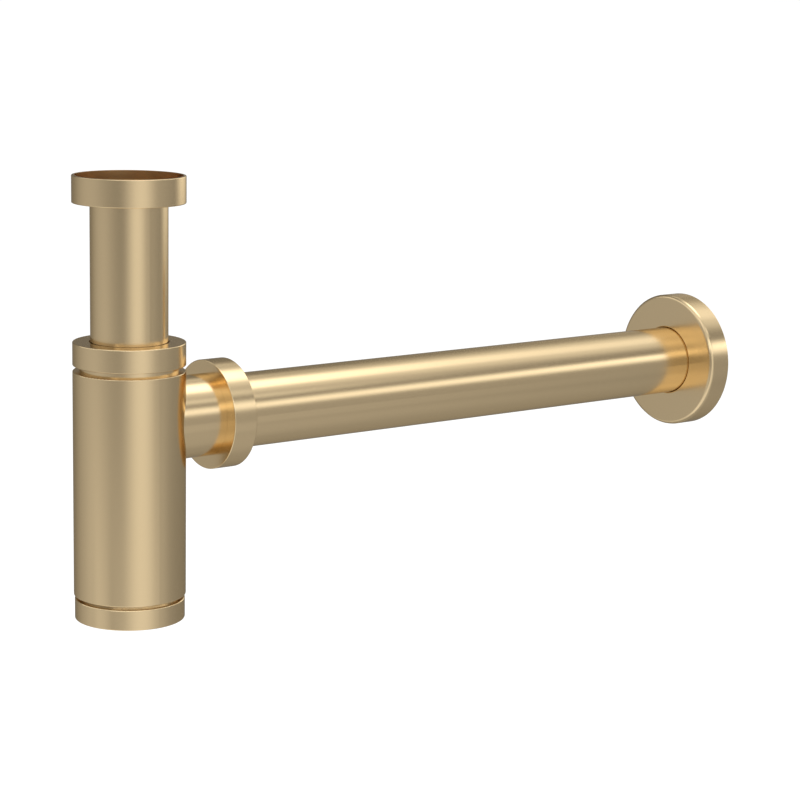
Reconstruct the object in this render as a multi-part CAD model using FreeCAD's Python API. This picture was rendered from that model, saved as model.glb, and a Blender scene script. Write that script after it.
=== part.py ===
"""Bottle trap with a wall flange, in mm. The inlet axis is Z and the outlet runs along +Y.

The origin lies on the inlet axis, on the seat that the waste's tail screws down to.
"""
import FreeCAD, Part
import os

# Both tubes, 32 mm outside with a 1 mm wall
PIPE_R = 16.0
PIPE_WALL = 1.0
PIPE_BORE_R = PIPE_R - PIPE_WALL

# Radial clearances
SEAL_FIT = 0.05  # between a rubber ring and the tube it grips
SLIP_FIT = 0.2  # between a tube and a bore it slides in
THREAD_FIT = 0.1  # between the two plain walls that stand for a screwed joint
RING_FIT = 0.2  # between a loose ring and the threaded wall round it
PLATE_FIT = 0.5  # between a tube and the plate of a nut or the face of the flange
HOLLOW_FIT = 0.3  # between a rubber wedge and its seat

# Male threads are shown by their core, from a short plain stretch inside the nut onwards
THREAD_DEPTH = 0.5
THREAD_START = 0.5

# Neck: a conical seat round the dip tube, and the threaded wall outside it
NECK_BORE_FIT = 0.6
NECK_SEAT_FLARE = 1.6
NECK_WALL = 2.2
NECK_BORE_R = PIPE_R + NECK_BORE_FIT
NECK_SEAT_R = NECK_BORE_R + NECK_SEAT_FLARE
NECK_THREAD_R = NECK_SEAT_R + NECK_WALL
NECK_SEAL_R = NECK_THREAD_R - RING_FIT

# Every nut and the bottle share one outside radius
NUT_WALL = 2.8
EDGE_ROUND = 0.4
NUT_R = NECK_THREAD_R + THREAD_FIT + NUT_WALL
NUT_PLATE_BORE_R = PIPE_R + PLATE_FIT

# Inlet nut, with its seat at z = 0; G 1 1/4 has a minor radius of 19.48
COLLAR_WIDTH = 3.0
COLLAR_THICKNESS = 1.0
COLLAR_FIT = 0.48
COLLAR_R = PIPE_R + COLLAR_WIDTH
INLET_THREAD_R = COLLAR_R + COLLAR_FIT
INLET_THREAD_LENGTH = 3.4
INLET_RELIEF_CUT = 1.52
INLET_RELIEF_R = INLET_THREAD_R + INLET_RELIEF_CUT
INLET_LEAD_WALL = 1.2
INLET_LEAD_DEPTH = 4.0
INLET_LEAD_R = NUT_R - INLET_LEAD_WALL
INLET_LIP = 1.4
INLET_LIP_FIT = 0.3
WASHER_THICKNESS = 1.5
WASHER_R = COLLAR_R + RING_FIT
WASHER_BORE_R = PIPE_BORE_R + RING_FIT
INLET_MOUTH = INLET_THREAD_LENGTH + INLET_LEAD_DEPTH
COLLAR_TOP = -WASHER_THICKNESS
COLLAR_BOTTOM = COLLAR_TOP - COLLAR_THICKNESS
INLET_NUT_BOTTOM = COLLAR_BOTTOM - INLET_LIP

# Neck nut and what it clamps, below the bare stretch of the dip tube
BARE_TUBE = 57.0
NECK_NUT_HEIGHT = 9.7
NECK_NUT_PLATE = 1.8
NECK_RING_THICKNESS = 0.8
NECK_SEAL_SHOULDER = 1.5
NECK_SEAL_WEDGE = 4.0
NECK_GAP = 2.4
NECK_NUT_TOP = INLET_NUT_BOTTOM - BARE_TUBE
NECK_NUT_BOTTOM = NECK_NUT_TOP - NECK_NUT_HEIGHT
NECK_RING_TOP = NECK_NUT_TOP - NECK_NUT_PLATE
NECK_SEAL_TOP = NECK_RING_TOP - NECK_RING_THICKNESS
NECK_TOP = NECK_SEAL_TOP - NECK_SEAL_SHOULDER
NECK_SEAL_TIP = NECK_TOP - NECK_SEAL_WEDGE
NECK_SEAT_TIP = NECK_SEAL_TIP - HOLLOW_FIT

# Bottle
BODY_HEIGHT = 94.6
BODY_WALL = 1.4
BODY_FOOT_ROUND = 0.6
BODY_TOP = NECK_NUT_BOTTOM - NECK_GAP
BODY_BOTTOM = BODY_TOP - BODY_HEIGHT
CHAMBER_TOP = BODY_TOP - BODY_WALL

# Bottom cup, screwed into a ring in the foot of the bottle
FOOT_WALL = 2.8
CUP_NECK_WALL = 1.6
LEDGE_LIP = 2.2
LEDGE_THICKNESS = 2.0
CUP_INSET = 0.4
CUP_HEIGHT = 8.7
CUP_GAP = 1.3
CUP_FLOOR = 1.6
CUP_ROUND = 0.5
CUP_THREAD_LENGTH = 8.0
CUP_SEAL_THICKNESS = 1.5
CUP_R = NUT_R - CUP_INSET
CUP_THREAD_R = NUT_R - FOOT_WALL - THREAD_FIT
CUP_BORE_R = CUP_THREAD_R - CUP_NECK_WALL
CUP_SEAL_R = CUP_THREAD_R - RING_FIT
LEDGE_BORE_R = CUP_THREAD_R - LEDGE_LIP
CUP_TOP = BODY_BOTTOM - CUP_GAP
CUP_BOTTOM = CUP_TOP - CUP_HEIGHT
CUP_NECK_TOP = BODY_BOTTOM + CUP_THREAD_LENGTH
LEDGE_BOTTOM = CUP_NECK_TOP + CUP_SEAL_THICKNESS
CHAMBER_BOTTOM = LEDGE_BOTTOM + LEDGE_THICKNESS

# The dip tube ends this far above the floor of the cup
DIP_CLEARANCE = 18.0
DIP_BOTTOM = CUP_BOTTOM + CUP_FLOOR + DIP_CLEARANCE

# Outlet: spigot, nut, seal and pipe, measured along +Y from the inlet axis
OUTLET_DROP = 22.2
SPIGOT_WALL = 1.25
SPIGOT_BARE = 13.6
OUTLET_NUT_LENGTH = 11.1
OUTLET_NUT_PLATE = 1.6
OUTLET_RING_THICKNESS = 1.2
OUTLET_SEAL_THICKNESS = 2.2
OUTLET_RING_FIT = 0.15
PIPE_INSERTION = 16.0
OUTLET_PIPE_LENGTH = 300.0
OUTLET_Z = BODY_TOP - OUTLET_DROP
SPIGOT_BORE_R = PIPE_R + SLIP_FIT
SPIGOT_R = SPIGOT_BORE_R + SPIGOT_WALL
OUTLET_RING_R = SPIGOT_R - OUTLET_RING_FIT
OUTLET_NUT_START = NUT_R + SPIGOT_BARE
OUTLET_NUT_END = OUTLET_NUT_START + OUTLET_NUT_LENGTH
OUTLET_RING_END = OUTLET_NUT_END - OUTLET_NUT_PLATE
OUTLET_SEAL_END = OUTLET_RING_END - OUTLET_RING_THICKNESS
SPIGOT_END = OUTLET_SEAL_END - OUTLET_SEAL_THICKNESS
OUTLET_PIPE_START = SPIGOT_END - PIPE_INSERTION
OUTLET_PIPE_END = OUTLET_PIPE_START + OUTLET_PIPE_LENGTH

# Wall flange and the rubber ring that grips the pipe inside it
FLANGE_R = 31.9
FLANGE_DEPTH = 11.6
FLANGE_WALL = 1.5
FLANGE_ROUND = 2.0
FLANGE_HOLE_ROUND = 0.3
PIPE_PROUD = 10.0  # how far the pipe goes on into the wall
GRIP_RING_WIDTH = 2.5
GRIP_RING_THICKNESS = 3.5
GRIP_POCKET_DEPTH = 4.7
GRIP_POCKET_WALL = 1.5
FLANGE_HOLE_R = PIPE_R + PLATE_FIT
GRIP_RING_R = PIPE_R + GRIP_RING_WIDTH
GRIP_POCKET_R = GRIP_RING_R + THREAD_FIT
FLANGE_END = OUTLET_PIPE_END - PIPE_PROUD
FLANGE_START = FLANGE_END - FLANGE_DEPTH
FLANGE_FACE_BACK = FLANGE_START + FLANGE_WALL

UP = FreeCAD.Vector(0, 0, 1)
ORIGIN = FreeCAD.Vector(0, 0, 0)


def disc(radius, start, end):
    """A solid round from start to end along Z."""
    return Part.makeCylinder(radius, end - start, FreeCAD.Vector(0, 0, start), UP)


def cone(start_radius, end_radius, start, end):
    """A solid cone from start to end along Z."""
    return Part.makeCone(start_radius, end_radius, end - start, FreeCAD.Vector(0, 0, start), UP)


def ring(radius, bore, start, end):
    """A plain ring from start to end along Z."""
    return disc(radius, start, end).cut(disc(bore, start, end))


def joined(first, *others):
    """One solid, with no leftover edges between the pieces that made it."""
    return first.multiFuse(list(others)).removeSplitter()


def threaded(radius, start, thread_start, end):
    """A solid round along Z whose threaded end, from thread_start, is cut down to the core."""
    return joined(disc(radius, start, thread_start), disc(radius - THREAD_DEPTH, thread_start, end))


def rounded(shape, radius, *circles):
    """The shape with each of the given round edges, (edge radius, height), filleted."""
    edges = [
        edge
        for edge in shape.Edges
        for edge_radius, height in circles
        if isinstance(edge.Curve, Part.Circle)
        and abs(edge.Curve.Radius - edge_radius) < 0.001
        and abs(edge.Curve.Center.z - height) < 0.001
    ]
    return shape.makeFillet(radius, edges)


def on_outlet(shape):
    """A shape made along Z, laid along the outlet's axis."""
    laid = shape.copy()
    laid.rotate(ORIGIN, FreeCAD.Vector(1, 0, 0), -90)
    laid.translate(FreeCAD.Vector(0, 0, OUTLET_Z))
    return laid


def inlet_nut():
    nut = disc(NUT_R, INLET_NUT_BOTTOM, INLET_MOUTH)
    nut = nut.cut(disc(PIPE_R + INLET_LIP_FIT, INLET_NUT_BOTTOM, COLLAR_BOTTOM))
    nut = nut.cut(disc(INLET_RELIEF_R, COLLAR_BOTTOM, 0))
    nut = nut.cut(disc(INLET_THREAD_R, 0, INLET_THREAD_LENGTH))
    nut = nut.cut(disc(INLET_LEAD_R, INLET_THREAD_LENGTH, INLET_MOUTH))
    return rounded(
        nut,
        EDGE_ROUND,
        (NUT_R, INLET_NUT_BOTTOM),
        (NUT_R, INLET_MOUTH),
        (INLET_LEAD_R, INLET_MOUTH),
    )


def inlet_washer():
    return ring(WASHER_R, WASHER_BORE_R, COLLAR_TOP, 0)


def dip_tube():
    collar = disc(COLLAR_R, COLLAR_BOTTOM, COLLAR_TOP)
    tube = joined(collar, disc(PIPE_R, DIP_BOTTOM, COLLAR_BOTTOM))
    return tube.cut(disc(PIPE_BORE_R, DIP_BOTTOM, COLLAR_TOP))


def neck_nut():
    nut = disc(NUT_R, NECK_NUT_BOTTOM, NECK_NUT_TOP)
    nut = nut.cut(disc(NUT_PLATE_BORE_R, NECK_RING_TOP, NECK_NUT_TOP))
    nut = nut.cut(disc(NECK_THREAD_R + THREAD_FIT, NECK_NUT_BOTTOM, NECK_RING_TOP))
    return rounded(nut, EDGE_ROUND, (NUT_R, NECK_NUT_BOTTOM), (NUT_R, NECK_NUT_TOP))


def neck_friction_ring():
    return ring(NECK_SEAL_R, PIPE_R + SLIP_FIT, NECK_SEAL_TOP, NECK_RING_TOP)


def neck_seal():
    shoulder = disc(NECK_SEAL_R, NECK_TOP, NECK_SEAL_TOP)
    seal = joined(shoulder, cone(NECK_BORE_R + SEAL_FIT, NECK_SEAT_R - HOLLOW_FIT, NECK_SEAL_TIP, NECK_TOP))
    return seal.cut(disc(PIPE_R + SEAL_FIT, NECK_SEAL_TIP, NECK_SEAL_TOP))


def trap_body():
    spigot = on_outlet(threaded(SPIGOT_R, 0, OUTLET_NUT_START + THREAD_START, SPIGOT_END))
    neck = threaded(NECK_THREAD_R, BODY_TOP, NECK_NUT_BOTTOM + THREAD_START, NECK_TOP)
    body = rounded(disc(NUT_R, BODY_BOTTOM, BODY_TOP), EDGE_ROUND, (NUT_R, BODY_TOP))
    body = rounded(body, BODY_FOOT_ROUND, (NUT_R, BODY_BOTTOM))
    body = joined(body, neck, spigot)
    body = body.cut(cone(NECK_BORE_R + HOLLOW_FIT, NECK_SEAT_R, NECK_SEAT_TIP, NECK_TOP))
    body = body.cut(disc(NECK_BORE_R, CHAMBER_TOP, NECK_SEAT_TIP))
    body = body.cut(disc(NUT_R - BODY_WALL, CHAMBER_BOTTOM, CHAMBER_TOP))
    body = body.cut(disc(LEDGE_BORE_R, LEDGE_BOTTOM, CHAMBER_BOTTOM))
    body = body.cut(disc(CUP_THREAD_R + THREAD_FIT, BODY_BOTTOM, LEDGE_BOTTOM))
    return body.cut(on_outlet(disc(SPIGOT_BORE_R, 0, SPIGOT_END)))


def cup_seal():
    return ring(CUP_SEAL_R, LEDGE_BORE_R + THREAD_FIT, CUP_NECK_TOP, LEDGE_BOTTOM)


def bottom_cup():
    cup = disc(CUP_R, CUP_BOTTOM, CUP_TOP)
    cup = rounded(cup, CUP_ROUND, (CUP_R, CUP_BOTTOM), (CUP_R, CUP_TOP))
    cup = joined(cup, threaded(CUP_THREAD_R, CUP_TOP, BODY_BOTTOM + THREAD_START, CUP_NECK_TOP))
    return cup.cut(disc(CUP_BORE_R, CUP_BOTTOM + CUP_FLOOR, CUP_NECK_TOP))


def outlet_nut():
    nut = disc(NUT_R, OUTLET_NUT_START, OUTLET_NUT_END)
    nut = nut.cut(disc(SPIGOT_R + THREAD_FIT, OUTLET_NUT_START, OUTLET_RING_END))
    nut = nut.cut(disc(NUT_PLATE_BORE_R, OUTLET_RING_END, OUTLET_NUT_END))
    nut = rounded(nut, EDGE_ROUND, (NUT_R, OUTLET_NUT_START), (NUT_R, OUTLET_NUT_END))
    return on_outlet(nut)


def outlet_friction_ring():
    return on_outlet(ring(OUTLET_RING_R, PIPE_R + SLIP_FIT, OUTLET_SEAL_END, OUTLET_RING_END))


def outlet_seal():
    return on_outlet(ring(OUTLET_RING_R, PIPE_R + SEAL_FIT, SPIGOT_END, OUTLET_SEAL_END))


def outlet_pipe():
    return on_outlet(ring(PIPE_R, PIPE_BORE_R, OUTLET_PIPE_START, OUTLET_PIPE_END))


def flange_grip_ring():
    end = FLANGE_FACE_BACK + GRIP_RING_THICKNESS
    return on_outlet(ring(GRIP_RING_R, PIPE_R + SEAL_FIT, FLANGE_FACE_BACK, end))


def wall_flange():
    cover = rounded(disc(FLANGE_R, FLANGE_START, FLANGE_END), FLANGE_ROUND, (FLANGE_R, FLANGE_START))
    cover = cover.cut(disc(FLANGE_R - FLANGE_WALL, FLANGE_FACE_BACK, FLANGE_END))
    pocket_end = FLANGE_FACE_BACK + GRIP_POCKET_DEPTH
    pocket = disc(GRIP_POCKET_R + GRIP_POCKET_WALL, FLANGE_FACE_BACK, pocket_end)
    cover = joined(cover, pocket).cut(disc(GRIP_POCKET_R, FLANGE_FACE_BACK, pocket_end))
    cover = cover.cut(disc(FLANGE_HOLE_R, FLANGE_START, FLANGE_FACE_BACK))
    return on_outlet(rounded(cover, FLANGE_HOLE_ROUND, (FLANGE_HOLE_R, FLANGE_START)))


PIECES = (
    inlet_nut,
    inlet_washer,
    dip_tube,
    neck_nut,
    neck_friction_ring,
    neck_seal,
    trap_body,
    cup_seal,
    bottom_cup,
    outlet_nut,
    outlet_friction_ring,
    outlet_seal,
    outlet_pipe,
    flange_grip_ring,
    wall_flange,
)

os.makedirs("parts", exist_ok=True)
for piece in PIECES:
    piece().exportStep(f"parts/{piece.__name__}.step")
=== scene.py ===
"""A basin bottle trap in brushed gold, with its wall flange, on a plain white stage."""
import math

import bmesh
import bpy
from bpy.props import FloatProperty, FloatVectorProperty, IntProperty, PointerProperty
from mathutils import Matrix, Vector


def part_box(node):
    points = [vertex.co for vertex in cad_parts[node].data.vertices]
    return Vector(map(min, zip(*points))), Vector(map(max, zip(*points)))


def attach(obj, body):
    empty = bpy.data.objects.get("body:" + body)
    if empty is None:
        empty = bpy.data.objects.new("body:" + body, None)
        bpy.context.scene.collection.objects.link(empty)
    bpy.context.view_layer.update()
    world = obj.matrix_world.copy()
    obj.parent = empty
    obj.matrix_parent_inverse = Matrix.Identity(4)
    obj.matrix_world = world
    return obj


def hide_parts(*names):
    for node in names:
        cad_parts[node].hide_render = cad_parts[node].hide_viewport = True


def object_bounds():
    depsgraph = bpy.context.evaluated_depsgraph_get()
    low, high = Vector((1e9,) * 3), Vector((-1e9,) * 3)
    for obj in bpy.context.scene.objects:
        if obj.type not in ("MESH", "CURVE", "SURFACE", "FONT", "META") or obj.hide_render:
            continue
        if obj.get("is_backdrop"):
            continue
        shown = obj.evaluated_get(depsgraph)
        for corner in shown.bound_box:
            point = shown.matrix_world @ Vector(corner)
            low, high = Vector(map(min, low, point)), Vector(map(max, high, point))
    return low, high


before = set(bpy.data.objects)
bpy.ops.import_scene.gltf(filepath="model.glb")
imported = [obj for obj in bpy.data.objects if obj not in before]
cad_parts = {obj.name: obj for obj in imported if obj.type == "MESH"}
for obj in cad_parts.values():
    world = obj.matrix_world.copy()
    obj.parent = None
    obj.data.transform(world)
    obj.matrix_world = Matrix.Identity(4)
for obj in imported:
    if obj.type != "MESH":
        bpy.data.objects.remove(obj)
CAD_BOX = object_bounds()

bl_info = {
    "name": "Brushed gold bottle trap",
    "version": (1, 0, 0),
    "blender": (4, 5, 0),
    "location": "3D View > Sidebar > Bottle Trap",
    "description": "Threads, seals, finishes and studio stage for a basin bottle trap",
    "category": "Add Mesh",
}

MM = 0.001


def span(node, axis):
    """A CAD node's start and end along an axis, in mm."""
    low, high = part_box(node)
    return low[axis] / MM, high[axis] / MM


# Heights and lengths that the pieces share, in mm, read from the frame
NUT_R = span("neck_nut", 0)[1]
OUTLET_Z = sum(span("outlet_pipe", 2)) / 2
INLET_BOTTOM, INLET_MOUTH = span("inlet_nut", 2)
WASHER_BOTTOM, SEAT = span("inlet_washer", 2)
NECK_NUT_BOTTOM = span("neck_nut", 2)[0]
NECK_RING_BOTTOM, NECK_RING_TOP = span("neck_friction_ring", 2)
NECK_SEAL_TIP = span("neck_seal", 2)[0]
BODY_BOTTOM, NECK_TOP = span("trap_body", 2)
CUP_NECK_TOP = span("bottom_cup", 2)[1]
CUP_SEAL_TOP = span("cup_seal", 2)[1]
OUTLET_NUT_START, OUTLET_NUT_END = span("outlet_nut", 1)
OUTLET_RING_START, OUTLET_RING_END = span("outlet_friction_ring", 1)
SPIGOT_END = span("trap_body", 1)[1]
GRIP_START, GRIP_END = span("flange_grip_ring", 1)
FLANGE_START, FLANGE_END = span("wall_flange", 1)
FLANGE_R = span("wall_flange", 0)[1]

# Radii over the tubes and over the ridges of the male threads, in mm
PIPE_R = 16.0
NECK_R = 20.4
SPIGOT_R = 17.45

# Gap between a male thread and the wall round it, and widths of a fine ridge, in mm
THREAD_GAP = 0.1
RIDGE_FOOT = 0.95
RIDGE_TIP = 0.4

# Within this radius the cup's gold is painted duller and paler, as painted shade in the gap between
# body and cup, in mm
GAP_SHADE_R = NECK_R + 0.2

# Steps in a full turn of a round piece, and the sharpest fold that is drawn smooth
TURN_STEPS = 144
SMOOTH_FOLD = math.radians(32)

# Where the stage is centred, in metres
MIDDLE = Vector((0, 0.15, -0.09))


class TrapThreads(bpy.types.PropertyGroup):
    """Threads of the nuts, the neck, the spigot and the cup, in mm"""
    pitch: FloatProperty(name="Pitch", description="Rise of the fine threads in one turn, in mm",
                         default=1.5)
    inlet_pitch: FloatProperty(name="Inlet pitch", default=2.309,
                               description="Rise of the G 1 1/4 thread in one turn, in mm")
    depth: FloatProperty(name="Depth", description="Height of the fine threads' ridges, in mm",
                         default=0.5)
    steps: IntProperty(name="Steps", description="Steps in one turn of a ridge", default=96, min=24)


class TrapFinish(bpy.types.PropertyGroup):
    """Colours and finishes of the gold, the rubber and the plastic"""
    gold: FloatVectorProperty(name="Gold", description="Colour of the brushed gold", subtype="COLOR",
                              default=(0.88, 0.682, 0.404), min=0, max=1)
    # Painted shade: a darker, deeper gold for the inside of the inlet nut's mouth, standing for shade
    # and gold reflecting gold in the hollow
    inside: FloatVectorProperty(name="Inside", description="Colour of the inlet nut's unbrushed inside",
                                subtype="COLOR", default=(0.6, 0.37, 0.17), min=0, max=1)
    # Painted shade: a duller, paler gold that stands for how the gap between body and cup is lit
    painted_shade: FloatVectorProperty(name="Bare metal", description="Colour of the cup's neck and its thread",
                              subtype="COLOR", default=(0.72, 0.63, 0.48), min=0, max=1)
    gold_roughness: FloatProperty(name="Gold roughness", description="How soft its reflections are",
                                  default=0.2, min=0, max=1, subtype="FACTOR")
    rubber: FloatVectorProperty(name="Rubber", description="Colour of the washers and seals",
                                subtype="COLOR", default=(0.022, 0.022, 0.023), min=0, max=1)
    plastic: FloatVectorProperty(name="Plastic", description="Colour of the friction rings",
                                 subtype="COLOR", default=(0.78, 0.78, 0.75), min=0, max=1)


class TrapStudio(bpy.types.PropertyGroup):
    """Camera, floor, lamps and the tent that the gold reflects"""
    lens: FloatProperty(name="Lens", description="Focal length in mm on a 36 mm sensor", default=104.93)
    floor_height: FloatProperty(name="Floor", description="Height of the floor, from the inlet seat",
                                default=-0.55, unit="LENGTH")
    tent_radius: FloatProperty(name="Tent", description="Radius of the reflection tent", default=6.0,
                               unit="LENGTH")
    tent_grey: FloatProperty(name="Tent grey", description="Brightness of the tent between its panels",
                             default=0.275)
    key_power: FloatProperty(name="Key lamp", description="Power of the key lamp in watts", default=28)
    fill_power: FloatProperty(name="Fill lamps", description="Power of each fill lamp in watts",
                              default=12)


def threads():
    return bpy.context.scene.trap_threads


def finish():
    return bpy.context.scene.trap_finish


def studio():
    return bpy.context.scene.trap_studio


# Turned shapes, made along Z in mm

def outline(bm, points):
    """The vertices and edges of a closed line through (radius, height) points, ready to spin."""
    corners = [bm.verts.new((radius, 0, height)) for radius, height in points]
    return corners + [bm.edges.new(pair) for pair in zip(corners, corners[1:] + corners[:1])]


def turn(bm, profile, rounds=()):
    """Spins a closed profile of (radius, height) points about Z, then rounds the given circles."""
    bmesh.ops.spin(bm, geom=outline(bm, profile), cent=(0, 0, 0), axis=(0, 0, 1), angle=math.tau,
                   steps=TURN_STEPS, use_merge=True)
    bmesh.ops.recalc_face_normals(bm, faces=bm.faces)
    for radius, height, size in rounds:
        circle = [edge for edge in bm.edges
                  if all(on_circle(vert, radius, height) for vert in edge.verts)]
        bmesh.ops.bevel(bm, geom=circle, offset=size, segments=4, profile=0.5, affect="EDGES",
                        material=-1, clamp_overlap=True)


def on_circle(vert, radius, height, reach=0.002):
    return abs(math.hypot(vert.co.x, vert.co.y) - radius) < reach and abs(vert.co.z - height) < reach


def ridge(bm, base, crest, pitch, start, end, foot=RIDGE_FOOT, tip=RIDGE_TIP):
    """A right-handed thread ridge from start to end, as wide as foot at its base and tip at its crest.

    It is made in an empty bmesh, before any other shape, so that its vertices stay in order.
    """
    steps_a_turn = threads().steps
    steps = round((end - start) / pitch * steps_a_turn)
    # The base is sunk a little into the wall that carries it
    sunk = 0.05
    root = base - sunk if crest > base else base + sunk
    points = ((root, start - foot / 2), (crest, start - tip / 2),
              (crest, start + tip / 2), (root, start + foot / 2))
    bmesh.ops.spin(bm, geom=outline(bm, points), cent=(0, 0, 0), axis=(0, 0, 1),
                   angle=math.tau * steps / steps_a_turn, dvec=(0, 0, pitch / steps_a_turn),
                   steps=steps)
    # The ridge runs out into the wall over its first and last twelfth of a turn, almost to nothing
    run_out = steps_a_turn / 12
    least = 0.02
    for index, vert in enumerate(bm.verts):
        step = index // len(points)
        full = min(1, step / run_out, (steps - step) / run_out)
        radius = math.hypot(vert.co.x, vert.co.y)
        wanted = root + (radius - root) * (least + (1 - least) * full)
        vert.co.x *= wanted / radius
        vert.co.y *= wanted / radius
    bmesh.ops.holes_fill(bm, edges=[edge for edge in bm.edges if edge.is_boundary], sides=4)
    bmesh.ops.recalc_face_normals(bm, faces=bm.faces)


def lay_on_outlet(bm):
    """Turns what was made along Z to lie along the outlet's axis."""
    turned = Matrix.Translation((0, 0, OUTLET_Z)) @ Matrix.Rotation(math.radians(-90), 4, "X")
    bmesh.ops.transform(bm, matrix=turned, verts=bm.verts)


def finished(bm, name, body, material, slot, replaces=None, on_outlet=False, inside=None):
    """Makes the shape an object that rides on a body, with crisp edges between its smooth faces.

    Faces that look towards the Z axis take the second material, painted darker as shade, if one is
    given.
    """
    if inside:
        for face in bm.faces:
            middle = face.calc_center_median()
            if face.normal.xy.dot(middle.xy) < -0.5 * middle.xy.length:
                face.material_index = 1
    if on_outlet:
        lay_on_outlet(bm)
    bmesh.ops.scale(bm, vec=(MM, MM, MM), verts=bm.verts)
    for face in bm.faces:
        face.smooth = True
    for edge in bm.edges:
        edge.smooth = len(edge.link_faces) == 2 and edge.calc_face_angle() < SMOOTH_FOLD
    mesh = bpy.data.meshes.new(name)
    bm.to_mesh(mesh)
    bm.free()
    mesh.materials.append(material)
    if inside:
        mesh.materials.append(inside)
    piece = bpy.data.objects.new(name, mesh)
    bpy.context.scene.collection.objects.link(piece)
    weighted = piece.modifiers.new("flat_faces_stay_flat", "WEIGHTED_NORMAL")
    weighted.keep_sharp = True
    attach(piece, body)
    if replaces:
        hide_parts(replaces)
    return piece


# Shader helpers

def add(tree, kind, inputs=(), **settings):
    """A new node with its settings, whose inputs are values or other sockets."""
    node = tree.nodes.new(kind)
    for name, value in settings.items():
        setattr(node, name, value)
    for socket, value in dict(inputs).items():
        if isinstance(value, bpy.types.NodeSocket):
            tree.links.new(value, node.inputs[socket])
        else:
            node.inputs[socket].default_value = value
    return node


def math_node(tree, operation, *values):
    return add(tree, "ShaderNodeMath", dict(enumerate(values)), operation=operation).outputs[0]


def vector_math(tree, operation, *values):
    node = add(tree, "ShaderNodeVectorMath", dict(enumerate(values)), operation=operation)
    return node.outputs["Value" if operation in ("DOT_PRODUCT", "LENGTH") else "Vector"]


def remap(tree, value, low, high, new_low, new_high, smooth=False):
    node = add(tree, "ShaderNodeMapRange", {"Value": value, "From Min": low, "From Max": high,
                                            "To Min": new_low, "To Max": new_high},
               interpolation_type="SMOOTHSTEP" if smooth else "LINEAR")
    return node.outputs["Result"]


def noise(tree, vector, scale, detail):
    node = add(tree, "ShaderNodeTexNoise", {"Vector": vector, "Scale": scale, "Detail": detail})
    return node.outputs["Fac"]


def mixed(tree, factor, first, second):
    """The first colour where the factor is 0, and the second where it is 1."""
    node = add(tree, "ShaderNodeMix", {"Factor": factor, "A": (*first, 1), "B": (*second, 1)},
               data_type="RGBA")
    return node.outputs["Result"]


def axis_radius(tree, place):
    """A place's X, Y and Z, and its distance from the Z axis."""
    split = add(tree, "ShaderNodeSeparateXYZ", {0: place}).outputs
    flat = add(tree, "ShaderNodeCombineXYZ", {"X": split["X"], "Y": split["Y"]}).outputs[0]
    return split, vector_math(tree, "LENGTH", flat)


def new_group(name, inputs, outputs):
    """An empty shader group with named sockets, and its input and output nodes."""
    group = bpy.data.node_groups.new(name, "ShaderNodeTree")
    for socket_name, kind, default in inputs:
        socket = group.interface.new_socket(socket_name, in_out="INPUT", socket_type=kind)
        if default is not None:
            socket.default_value = default
    for socket_name, kind in outputs:
        group.interface.new_socket(socket_name, in_out="OUTPUT", socket_type=kind)
    return group, group.nodes.new("NodeGroupInput").outputs, group.nodes.new("NodeGroupOutput").inputs


def new_material(name):
    material = bpy.data.materials.new(name)
    material.use_nodes = True
    tree = material.node_tree
    tree.nodes.clear()
    return material, tree, tree.nodes.new("ShaderNodeOutputMaterial")


def brushing_group():
    """Fine brush lines that run round the Z axis of its Vector, as a roughness and a height."""
    name = "brush_lines_round_z"
    if name in bpy.data.node_groups:
        return bpy.data.node_groups[name]
    group, given, wanted = new_group(
        name,
        (("Vector", "NodeSocketVector", None), ("Roughness", "NodeSocketFloat", 0.2),
         ("Spread", "NodeSocketFloat", 0.03), ("Cloud", "NodeSocketFloat", 0.02)),
        (("Roughness", "NodeSocketFloat"), ("Height", "NodeSocketFloat")))
    split, radius = axis_radius(group, given["Vector"])
    # Lines are long round the axis, and this much finer along it and across the flat faces
    fineness = 90.0
    along = math_node(group, "MULTIPLY", math_node(group, "ADD", split["Z"], radius), fineness)
    squeezed = add(group, "ShaderNodeCombineXYZ", {"X": split["X"], "Y": split["Y"], "Z": along})
    lines = noise(group, squeezed.outputs[0], scale=75.0, detail=4.0)
    clouds = noise(group, given["Vector"], scale=60.0, detail=3.0)
    lined = math_node(group, "MULTIPLY", math_node(group, "SUBTRACT", lines, 0.5), given["Spread"])
    clouded = math_node(group, "MULTIPLY", math_node(group, "SUBTRACT", clouds, 0.5), given["Cloud"])
    total = math_node(group, "ADD", given["Roughness"], math_node(group, "ADD", lined, clouded))
    group.links.new(total, wanted["Roughness"])
    group.links.new(lines, wanted["Height"])
    return group


def grain_group():
    """The fine grain of moulded rubber and plastic, as a shade, a roughness and a height."""
    name = "moulded_grain"
    if name in bpy.data.node_groups:
        return bpy.data.node_groups[name]
    group, given, wanted = new_group(
        name,
        (("Vector", "NodeSocketVector", None), ("Roughness", "NodeSocketFloat", 0.6),
         ("Dust", "NodeSocketFloat", 0.1)),
        (("Shade", "NodeSocketFloat"), ("Roughness", "NodeSocketFloat"), ("Height", "NodeSocketFloat")))
    fine = noise(group, given["Vector"], scale=2500.0, detail=2.0)
    broad = noise(group, given["Vector"], scale=180.0, detail=4.0)
    shade = math_node(group, "MULTIPLY", remap(group, broad, 0.35, 0.75, 0.0, 1.0), given["Dust"])
    rough = math_node(group, "ADD", given["Roughness"], remap(group, broad, 0.3, 0.7, -0.06, 0.06))
    group.links.new(shade, wanted["Shade"])
    group.links.new(rough, wanted["Roughness"])
    group.links.new(fine, wanted["Height"])
    return group


def object_place(tree, turned=False):
    """Object coordinates, turned about the outlet's axis for a piece that lies along it."""
    place = add(tree, "ShaderNodeTexCoord").outputs["Object"]
    if turned:
        centred = vector_math(tree, "SUBTRACT", place, (0, 0, OUTLET_Z * MM))
        place = add(tree, "ShaderNodeMapping",
                    {"Vector": centred, "Rotation": (math.radians(90), 0, 0)}).outputs[0]
    return place


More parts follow.
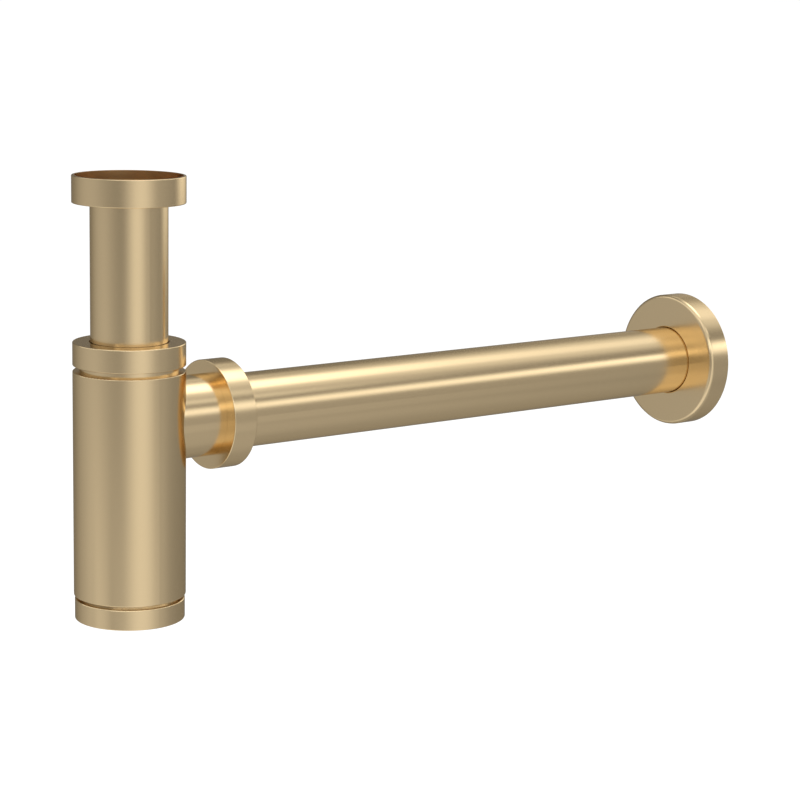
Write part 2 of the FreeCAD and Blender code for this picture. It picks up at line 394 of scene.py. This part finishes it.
def gold(name, turned=False, roughness=None, spread=0.03, colour=None, painted_shade_within=None):
    """Brushed gold for a piece that is round about the inlet axis, or about the outlet axis if turned.

    Within a radius from the axis, if one is given in mm, the colour is the duller painted-shade colour
    instead of gold.
    """
    if name in bpy.data.materials:
        return bpy.data.materials[name]
    material, tree, output = new_material(name)
    place = object_place(tree, turned)
    brushing = add(tree, "ShaderNodeGroup", {
        "Vector": place,
        "Roughness": finish().gold_roughness if roughness is None else roughness,
        "Spread": spread,
    }, node_tree=brushing_group()).outputs
    bump = add(tree, "ShaderNodeBump",
               {"Strength": 0.12, "Distance": 0.04 * MM, "Height": brushing["Height"]})
    shader = add(tree, "ShaderNodeBsdfPrincipled", {
        "Base Color": (*(colour or finish().gold), 1),
        "Metallic": 1.0,
        "Specular Tint": (0.76, 0.7, 0.6, 1),
        "Roughness": brushing["Roughness"],
        "Normal": bump.outputs["Normal"],
    })
    # Painted shade on the cup's neck in the gap: gold outside the radius, the duller colour within it
    if painted_shade_within:
        radius = axis_radius(tree, place)[1]
        edge = painted_shade_within * MM
        gilded = remap(tree, radius, edge, edge + 0.2 * MM, 0.0, 1.0)
        tree.links.new(mixed(tree, gilded, finish().painted_shade, finish().gold), shader.inputs["Base Color"])
    tree.links.new(shader.outputs[0], output.inputs["Surface"])
    return material


def moulded(name, colour, dusty, roughness, dust):
    """Moulded rubber or plastic, a little dusty in patches."""
    if name in bpy.data.materials:
        return bpy.data.materials[name]
    material, tree, output = new_material(name)
    grain = add(tree, "ShaderNodeGroup",
                {"Vector": object_place(tree), "Roughness": roughness, "Dust": dust},
                node_tree=grain_group()).outputs
    bump = add(tree, "ShaderNodeBump",
               {"Strength": 0.3, "Distance": 0.05 * MM, "Height": grain["Height"]})
    shader = add(tree, "ShaderNodeBsdfPrincipled", {
        "Base Color": mixed(tree, grain["Shade"], colour, dusty),
        "Roughness": grain["Roughness"],
        "Normal": bump.outputs["Normal"],
    })
    tree.links.new(shader.outputs[0], output.inputs["Surface"])
    return material


def rubber():
    return moulded("black_rubber", finish().rubber, (0.12, 0.115, 0.105), 0.55, 0.25)


def plastic():
    return moulded("white_plastic", finish().plastic, (0.62, 0.61, 0.56), 0.42, 0.3)


def dress(node, material):
    """Gives a CAD node its material."""
    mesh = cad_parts[node].data
    mesh.materials.clear()
    mesh.materials.append(material)


# The cup's gold, with painted shade on its neck in the gap below the body
def cup_gold():
    return gold("brushed_gold_with_bare_neck", painted_shade_within=GAP_SHADE_R)


class DressMetal(bpy.types.Operator):
    """Give the metal CAD pieces their brushed gold"""
    bl_idname = "trap.dress_metal"
    bl_label = "Metal finishes"

    def execute(self, context):
        for node in ("dip_tube", "neck_nut", "trap_body"):
            dress(node, gold("brushed_gold_upright"))
        dress("bottom_cup", cup_gold())
        dress("outlet_pipe", gold("brushed_gold_along_outlet", turned=True))
        return {"FINISHED"}


class MakeInletNut(bpy.types.Operator):
    """Make the inlet nut, with its G 1 1/4 thread"""
    bl_idname = "trap.make_inlet_nut"
    bl_label = "Inlet nut"

    def execute(self, context):
        mouth_r = NUT_R - 1.2
        root_r = 20.95
        crest_r = 19.5
        lip_r = PIPE_R + 0.3
        lip_top = WASHER_BOTTOM - 1.0
        wall_top = INLET_MOUTH - 4.0
        ridge_start, ridge_end = SEAT - 1.25, wall_top - 1.1
        profile = (
            (lip_r, INLET_BOTTOM), (NUT_R, INLET_BOTTOM), (NUT_R, INLET_MOUTH), (mouth_r, INLET_MOUTH),
            (mouth_r, wall_top), (root_r, wall_top), (root_r, lip_top), (lip_r, lip_top),
        )
        rounds = (
            (NUT_R, INLET_BOTTOM, 0.4), (NUT_R, INLET_MOUTH, 0.35),
            (mouth_r, INLET_MOUTH, 0.08), (lip_r, INLET_BOTTOM, 0.2),
        )
        bm = bmesh.new()
        ridge(bm, root_r, crest_r, threads().inlet_pitch, ridge_start, ridge_end, foot=2.1, tip=0.6)
        turn(bm, profile, rounds)
        # Inside the mouth: softer, unbrushed gold, with painted shade in its darker, deeper colour
        painted_shade = gold("bare_gold_inside", roughness=0.3, spread=0.1, colour=finish().inside)
        finished(bm, "inlet_nut_turned", "inlet_nut", gold("brushed_gold_upright"), "brushed_gold",
                 "inlet_nut", inside=painted_shade)
        return {"FINISHED"}


class MakeOutletNut(bpy.types.Operator):
    """Make the outlet nut, whose lip closes on the spigot"""
    bl_idname = "trap.make_outlet_nut"
    bl_label = "Outlet nut"

    def execute(self, context):
        lip_r = SPIGOT_R + 0.015
        root_r = SPIGOT_R + THREAD_GAP
        crest_r = root_r - threads().depth
        plate_r = PIPE_R + 0.5
        start, end = OUTLET_NUT_START, OUTLET_NUT_END
        lip_end = start + 0.9
        ridge_start, ridge_end = lip_end + 0.6, SPIGOT_END - 0.6
        profile = (
            (lip_r, start), (NUT_R, start), (NUT_R, end), (plate_r, end),
            (plate_r, OUTLET_RING_END), (root_r, OUTLET_RING_END), (root_r, lip_end), (lip_r, lip_end),
        )
        rounds = (NUT_R, start, 0.4), (NUT_R, end, 0.4), (plate_r, end, 0.25)
        bm = bmesh.new()
        ridge(bm, root_r, crest_r, threads().pitch, ridge_start, ridge_end)
        turn(bm, profile, rounds)
        finished(bm, "outlet_nut_turned", "outlet_nut", gold("brushed_gold_along_outlet", turned=True),
                 "brushed_gold", "outlet_nut", on_outlet=True)
        return {"FINISHED"}


class MakeFlange(bpy.types.Operator):
    """Make the wall flange, whose rounded lip closes on the pipe"""
    bl_idname = "trap.make_flange"
    bl_label = "Wall flange"

    def execute(self, context):
        wall = 1.5
        hole_r = PIPE_R + 0.1
        rim_r = FLANGE_R - wall
        pocket_r = 18.6
        sleeve_r = pocket_r + wall
        start, back, end = FLANGE_START, GRIP_START, FLANGE_END
        sleeve_end = back + 4.7
        profile = (
            (hole_r, start), (FLANGE_R, start), (FLANGE_R, end), (rim_r, end), (rim_r, back),
            (sleeve_r, back), (sleeve_r, sleeve_end), (pocket_r, sleeve_end), (pocket_r, back),
            (hole_r, back),
        )
        rounds = (
            (hole_r, start, 0.7), (FLANGE_R, start, 2.0), (FLANGE_R, end, 0.2),
            (rim_r, end, 0.2), (rim_r, back, 0.8), (sleeve_r, sleeve_end, 0.2),
        )
        bm = bmesh.new()
        turn(bm, profile, rounds)
        finished(bm, "wall_flange_turned", "wall_flange",
                 gold("brushed_gold_along_outlet", turned=True), "brushed_gold", "wall_flange",
                 on_outlet=True)
        return {"FINISHED"}


class CutThreads(bpy.types.Operator):
    """Put the fine threads on the neck, the spigot, the cup and the walls round them"""
    bl_idname = "trap.cut_threads"
    bl_label = "Fine threads"

    def execute(self, context):
        pitch, depth = threads().pitch, threads().depth
        # Radii of a ridge's base and crest
        male = NECK_R - depth, NECK_R
        female = NECK_R + THREAD_GAP, NECK_R + THREAD_GAP - depth
        spigot = SPIGOT_R - depth, SPIGOT_R
        neck_start = NECK_NUT_BOTTOM + 1.0
        cup_start = BODY_BOTTOM + 1.6
        spigot_start = OUTLET_NUT_START + 1.5 + pitch / 2
        upright = gold("brushed_gold_upright")
        level = gold("brushed_gold_along_outlet", turned=True)
        # Name, body, radii, first and last height of the ridge's middle, and metal. A female ridge
        # lies half a pitch from the male one.
        rows = (
            ("neck_thread", "trap_body", male, neck_start, NECK_TOP - 0.55, upright),
            ("neck_nut_thread", "neck_nut", female, neck_start - pitch / 2, NECK_TOP - 0.6, upright),
            ("cup_thread", "bottom_cup", male, cup_start, CUP_NECK_TOP - 0.55, cup_gold()),
            ("foot_thread", "trap_body", female, cup_start + pitch / 2, CUP_NECK_TOP - 0.4, upright),
            ("spigot_thread", "trap_body", spigot, spigot_start, SPIGOT_END - 0.55, level),
        )
        for name, body, (base, crest), start, end, metal in rows:
            bm = bmesh.new()
            ridge(bm, base, crest, pitch, start, end)
            finished(bm, name, body, metal, "brushed_gold", on_outlet=metal is level)
        return {"FINISHED"}


def band(inner, outer, start, end):
    """The profile of a plain ring."""
    return (inner, start), (outer, start), (outer, end), (inner, end)


class MakeSeals(bpy.types.Operator):
    """Make the rubber washers and seals and the plastic friction rings"""
    bl_idname = "trap.make_seals"
    bl_label = "Seals and rings"

    def execute(self, context):
        for node, material, slot, profile, rounds, laid in self.shapes():
            bm = bmesh.new()
            turn(bm, profile, [(*profile[corner], size) for corner, size in rounds.items()])
            finished(bm, f"{node}_moulded", node, material, slot, node, on_outlet=laid)
        return {"FINISHED"}

    def shapes(self):
        """Each ring's node, material, slot, profile, rounded corners, and if it lies on the outlet."""
        black = rubber(), "black_rubber"
        white = plastic(), "white_plastic"
        bore_r = PIPE_R + 0.05
        ring_r = PIPE_R + 0.2
        outer_r = NECK_R - 0.2
        groove = 0.25
        crisp = dict.fromkeys(range(4), 0.12)
        soft = dict.fromkeys(range(4), 0.3)

        bottom, top = WASHER_BOTTOM, SEAT
        washer = ((15.2, bottom), (19.2, bottom), (19.2, top), (17.9, top), (17.7, top - groove),
                  (16.9, top - groove), (16.7, top), (15.2, top))
        yield "inlet_washer", *black, washer, dict.fromkeys((1, 2, 7, 0), 0.25), False

        neck_ring = band(ring_r, outer_r, NECK_RING_BOTTOM, NECK_RING_TOP)
        yield "neck_friction_ring", *white, neck_ring, crisp, False

        tip, shoulder, top = NECK_SEAL_TIP, NECK_TOP, NECK_RING_BOTTOM
        neck_seal = ((bore_r, tip), (16.65, tip), (17.9, shoulder), (19.9, shoulder), (19.9, top),
                     (17.2, top), (17.0, top - groove), (16.7, top - groove), (bore_r, top))
        yield "neck_seal", *black, neck_seal, {1: 0.2, 3: 0.3, 4: 0.3}, False

        cup_seal = band(18.3, outer_r, CUP_NECK_TOP, CUP_SEAL_TOP)
        yield "cup_seal", *black, cup_seal, soft, False

        outlet_seal = band(bore_r, SPIGOT_R - 0.5, SPIGOT_END, OUTLET_RING_START)
        yield "outlet_seal", *black, outlet_seal, {1: 0.2, 2: 0.2}, True

        outlet_ring = band(ring_r, SPIGOT_R - 0.15, OUTLET_RING_START, OUTLET_RING_END)
        yield "outlet_friction_ring", *white, outlet_ring, crisp, True

        # The grip ring has a groove round its outside
        start, end = GRIP_START, GRIP_END
        grip_ring = ((bore_r, start), (18.5, start), (18.5, start + 1.2), (18.2, start + 1.5),
                     (18.2, start + 2.0), (18.5, start + 2.3), (18.5, end), (bore_r, end))
        yield "flange_grip_ring", *black, grip_ring, {1: 0.3, 6: 0.3, 7: 0.3}, True


# Each wall panel of the tent: azimuth and elevation of its middle, half width and half height where
# it is at half brightness, softness of both, and brightness, which the tent's grey is added to. The
# angles are in degrees. Azimuth 0 is -Y and 90 is +X.
WALL_PANELS = (
    (79.5, -60, 22, 80, 40, 22, 0.41),
    (104, -60, 40, 80, 70, 22, 0.11),
    (-28, -60, 34, 80, 60, 22, 0.19),
    (20, -80, 45, 68, 40, 16, 0.25),
    (-15, -80, 86, 46, 40, 18, 0.42),
    (50, 42, 42, 24, 30, 20, 0.32),
    (180, -80, 60, 48, 40, 20, 0.08),
    (-165, 9, 20, 14, 30, 8, 1.1),
    (-38, 33, 34, 11, 16, 10, 0.6),
)
# Each strip that runs along Y, in the same way: its turn about Y, where 0 is +X and 90 is straight up,
# and its lean from the middle towards +Y. A brightness below 0 darkens.
STRIPS = (
    (22, 36, 7.7, 36, 13.8, 8, 0.98),
    (29, 55, 5, 12.5, 9, 9, 0.95),
    (28, -36, 8.5, 36, 7, 8, 0.85),
    (90.6, 28, 11.7, 48, 7.8, 20, 0.28),
    (88, 10, 28.9, 60, 25.9, 16, 0.48),
    (92, 18, 15, 16, 12.9, 14, 1.4),
    (48.8, 15, 5.8, 20.3, 10.4, 6, 0.66),
    (129, 18, 5, 15, 9, 6, 0.45),
    (124, 45, 13, 30, 39.5, 12, 0.22),
    (141, 10, 36.5, 26.4, 6.4, 11.7, -0.078),
    (-23.4, 26, 9.6, 15.5, 4.6, 24, 0.08),
    (166, 40, 16, 12, 14, 14, 0.07),
    (-90, -30, 50, 36, 20, 12, -0.18),
)


def panel_mask(tree, turn_angle, lean, middle, half, soft):
    """1 inside a soft-edged panel and 0 outside it, from sockets in degrees."""
    offset = math_node(tree, "SUBTRACT", turn_angle, middle[0])
    across = math_node(tree, "ABSOLUTE", math_node(tree, "WRAP", offset, 180.0, -180.0))
    along = math_node(tree, "ABSOLUTE", math_node(tree, "SUBTRACT", lean, middle[1]))
    masks = [remap(tree, distance, width - edge / 2, width + edge / 2, 1.0, 0.0, smooth=True)
             for distance, width, edge in zip((across, along), half, soft)]
    return math_node(tree, "MULTIPLY", *masks)


def tent_material():
    """Grey with soft bright panels, by direction from the middle of the tent."""
    material, tree, output = new_material("reflection_tent")
    place = add(tree, "ShaderNodeTexCoord").outputs["Object"]
    split = add(tree, "ShaderNodeSeparateXYZ", {0: vector_math(tree, "NORMALIZE", place)})
    east, north, up = split.outputs
    south = math_node(tree, "MULTIPLY", north, -1.0)
    azimuth = math_node(tree, "DEGREES", math_node(tree, "ARCTAN2", east, south))
    elevation = math_node(tree, "DEGREES", math_node(tree, "ARCSINE", up))
    turned = math_node(tree, "DEGREES", math_node(tree, "ARCTAN2", up, east))
    lean = math_node(tree, "DEGREES", math_node(tree, "ARCSINE", north))
    light = studio().tent_grey
    for panels, angles in ((WALL_PANELS, (azimuth, elevation)), (STRIPS, (turned, lean))):
        for middle_a, middle_b, half_a, half_b, soft_a, soft_b, bright in panels:
            mask = panel_mask(tree, *angles, (middle_a, middle_b), (half_a, half_b), (soft_a, soft_b))
            light = math_node(tree, "ADD", light, math_node(tree, "MULTIPLY", mask, bright))
    glow = add(tree, "ShaderNodeEmission", {"Color": (1, 1, 1, 1), "Strength": light})
    tree.links.new(glow.outputs[0], output.inputs["Surface"])
    material.cycles.emission_sampling = "NONE"
    return material


def seen_as_background(tree):
    """1 for rays that see the background: from the camera, off gloss or through glass."""
    path = add(tree, "ShaderNodeLightPath").outputs
    seen = math_node(tree, "MAXIMUM", path["Is Camera Ray"], path["Is Glossy Ray"])
    return math_node(tree, "MAXIMUM", seen, path["Is Transmission Ray"])


def stage_object(bm, name, material):
    mesh = bpy.data.meshes.new(name)
    bm.to_mesh(mesh)
    bm.free()
    mesh.materials.append(material)
    thing = bpy.data.objects.new(name, mesh)
    bpy.context.scene.collection.objects.link(thing)
    thing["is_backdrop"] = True
    return thing


def photo_camera():
    """The photograph's camera, from its place, its turn about Z, its tilt down and its roll."""
    place = 0.81594, -0.49006, 0.09224
    turned, tilt, roll = 0.91247, 0.18357, -0.019
    ahead = Vector((-math.sin(turned) * math.cos(tilt),
                    math.cos(turned) * math.cos(tilt),
                    -math.sin(tilt)))
    level = Vector((math.cos(turned), math.sin(turned), 0))
    down = ahead.cross(level)
    right = math.cos(roll) * level + math.sin(roll) * down
    down = math.cos(roll) * down - math.sin(roll) * level
    facing = Matrix((right, -down, -ahead)).transposed().to_4x4()
    return Matrix.Translation(place) @ facing


class SetStage(bpy.types.Operator):
    """Set the world, the floor, the reflection tent, the lamps and the camera"""
    bl_idname = "trap.set_stage"
    bl_label = "Stage"

    def execute(self, context):
        context.scene.view_settings.view_transform = "Standard"
        self.world(context.scene)
        self.tent()
        self.floor()
        self.lamp("key_softbox", (1.3, -1.2, 1.5), (1.6, 1.2), studio().key_power)
        self.lamp("fill_softbox", (-1.5, -0.6, 0.9), (1.6, 1.6), studio().fill_power)
        self.lamp("back_softbox", (-0.6, 1.9, 1.2), (1.4, 1.0), studio().fill_power)
        self.camera(context.scene)
        return {"FINISHED"}

    def world(self, scene):
        world = bpy.data.worlds.new("studio")
        scene.world = world
        world.use_nodes = True
        tree = world.node_tree
        tree.nodes.clear()
        # White where it is seen, and dimmer as a lamp
        strength = remap(tree, seen_as_background(tree), 0, 1, 0.6, 1.0)
        back = add(tree, "ShaderNodeBackground", {"Color": (1, 1, 1, 1), "Strength": strength})
        output = tree.nodes.new("ShaderNodeOutputWorld")
        tree.links.new(back.outputs[0], output.inputs["Surface"])

    def tent(self):
        """Only reflections see the tent, which is closed just above the floor."""
        bm = bmesh.new()
        bmesh.ops.create_uvsphere(bm, u_segments=64, v_segments=32, radius=studio().tent_radius)
        cut = studio().floor_height - MIDDLE.z + 0.005
        bmesh.ops.bisect_plane(bm, geom=bm.verts[:] + bm.edges[:] + bm.faces[:], plane_co=(0, 0, cut),
                               plane_no=(0, 0, -1), clear_outer=True)
        bmesh.ops.holes_fill(bm, edges=[edge for edge in bm.edges if edge.is_boundary])
        bmesh.ops.reverse_faces(bm, faces=bm.faces)
        tent = stage_object(bm, "reflection_tent", tent_material())
        tent.location = MIDDLE
        for ray in ("camera", "diffuse", "transmission", "shadow", "volume_scatter"):
            setattr(tent, f"visible_{ray}", False)

    def floor(self):
        """White for the camera but for the shadow, pale for the light, and clear from below."""
        material, tree, output = new_material("floor_white")
        pale = add(tree, "ShaderNodeBsdfDiffuse", {"Color": (0.8, 0.8, 0.8, 1)})
        faint = add(tree, "ShaderNodeBsdfDiffuse", {"Color": (0.2, 0.2, 0.2, 1)})
        glow = add(tree, "ShaderNodeEmission", {"Color": (1, 1, 1, 1), "Strength": 0.93})
        bright = add(tree, "ShaderNodeAddShader", {0: faint.outputs[0], 1: glow.outputs[0]})
        above = add(tree, "ShaderNodeMixShader",
                    {0: seen_as_background(tree), 1: pale.outputs[0], 2: bright.outputs[0]})
        clear = add(tree, "ShaderNodeBsdfTransparent")
        from_below = add(tree, "ShaderNodeNewGeometry").outputs["Backfacing"]
        mix = add(tree, "ShaderNodeMixShader",
                  {0: from_below, 1: above.outputs[0], 2: clear.outputs[0]})
        tree.links.new(mix.outputs[0], output.inputs["Surface"])
        bm = bmesh.new()
        bmesh.ops.create_grid(bm, size=40.0)
        floor = stage_object(bm, "floor", material)
        floor.location.z = studio().floor_height

    def lamp(self, name, place, size, power):
        lamp = bpy.data.lights.new(name, "AREA")
        lamp.shape = "RECTANGLE"
        lamp.size, lamp.size_y = size
        lamp.energy = power
        thing = bpy.data.objects.new(name, lamp)
        facing = (MIDDLE - Vector(place)).to_track_quat("-Z", "Y").to_matrix().to_4x4()
        thing.matrix_world = Matrix.Translation(place) @ facing
        thing.visible_glossy = False
        bpy.context.scene.collection.objects.link(thing)

    def camera(self, scene):
        camera = bpy.data.cameras.new("camera")
        camera.lens = studio().lens
        camera.sensor_width = 36
        thing = bpy.data.objects.new("camera", camera)
        thing.matrix_world = photo_camera()
        scene.collection.objects.link(thing)
        scene.camera = thing


class TrapPanel(bpy.types.Panel):
    """The trap's settings and steps"""
    bl_label = "Bottle Trap"
    bl_idname = "VIEW3D_PT_bottle_trap"
    bl_space_type = "VIEW_3D"
    bl_region_type = "UI"
    bl_category = "Bottle Trap"

    def draw(self, context):
        for name in SETTINGS:
            settings = getattr(context.scene, name)
            for prop in settings.bl_rna.properties:
                if prop.identifier not in ("rna_type", "name"):
                    self.layout.prop(settings, prop.identifier)
        for step in STEPS:
            self.layout.operator(step.bl_idname)


SETTINGS = {"trap_threads": TrapThreads, "trap_finish": TrapFinish, "trap_studio": TrapStudio}
STEPS = (DressMetal, MakeInletNut, MakeOutletNut, MakeFlange, CutThreads, MakeSeals, SetStage)


def register():
    for cls in (*SETTINGS.values(), *STEPS, TrapPanel):
        bpy.utils.register_class(cls)
    for name, cls in SETTINGS.items():
        setattr(bpy.types.Scene, name, PointerProperty(type=cls))


def unregister():
    for name in SETTINGS:
        delattr(bpy.types.Scene, name)
    for cls in (TrapPanel, *STEPS, *SETTINGS.values()):
        bpy.utils.unregister_class(cls)


def main():
    register()
    bpy.ops.trap.dress_metal()
    bpy.ops.trap.make_inlet_nut()
    bpy.ops.trap.make_outlet_nut()
    bpy.ops.trap.make_flange()
    bpy.ops.trap.cut_threads()
    bpy.ops.trap.make_seals()
    bpy.ops.trap.set_stage()
    boxes = {"cad": CAD_BOX, "visual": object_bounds()}
    {name: [list(corner) for corner in box] for name, box in boxes.items()}


if __name__ == "__main__":
    main()
